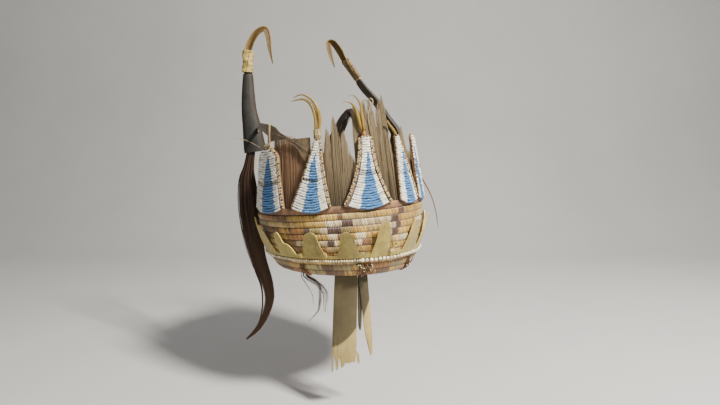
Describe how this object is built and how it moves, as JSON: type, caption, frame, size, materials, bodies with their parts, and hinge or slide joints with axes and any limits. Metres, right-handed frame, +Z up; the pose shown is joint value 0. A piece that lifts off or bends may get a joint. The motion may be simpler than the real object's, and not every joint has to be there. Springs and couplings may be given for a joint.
{
  "type": "horned headdress",
  "caption": "Bowl-shaped straw cap with beaded panels, standing hair, bound horns and claws, a leaf-edged hide collar and hanging hide ties.",
  "frame": {"origin": "centre of the rim's opening, at the rim's lower edge, where the headdress sits on a head", "axes": "+Z up, -Y toward the front panels, +X toward the wearer's left as seen from the front's right"},
  "size_m": [0.2666, 0.2618, 0.4484],
  "materials": {
    "straw": "satin",
    "hide": "matte",
    "beads": "gloss",
    "hair": "matte",
    "dark_hair": "satin",
    "horn": "satin",
    "claw": "gloss",
    "binding": "matte",
    "collar": "matte",
    "cord": "matte",
    "ties": "matte"
  },
  "bodies": {
    "root": {"back_plume": "dark_hair", "bead_string": "beads", "beadwork_1": "beads", "beadwork_2": "beads", "beadwork_3": "beads", "beadwork_4": "beads", "beadwork_5": "beads", "blade_left": "claw", "blade_right": "claw", "claw_2_left": "claw", "claw_2_right": "claw", "claw_3_left": "claw", "claw_3_right": "claw", "claw_collar_2": "binding", "claw_collar_3": "binding", "claw_stump_4": "claw", "hide_crown": "hide", "hide_web": "hide", "horn_binding_left": "binding", "horn_binding_right": "binding", "horn_left": "horn", "horn_right": "horn", "leaf_collar": "collar", "panel_1": "hide", "panel_2": "hide", "panel_3": "hide", "panel_4": "hide", "panel_5": "hide", "rim_lashing_1": "cord", "rim_lashing_2": "cord", "rim_lashing_3": "cord", "straw_cap": "straw", "tail_left": "dark_hair", "tie_narrow": "ties", "tie_scrap": "ties", "tie_wide": "ties", "tuft_1": "hair", "tuft_2": "hair", "tuft_3": "hair", "tuft_4": "hair", "tuft_back": "hair", "web_strap": "ties", "wisp_right": "hair"}
  },
  "joints": []
}
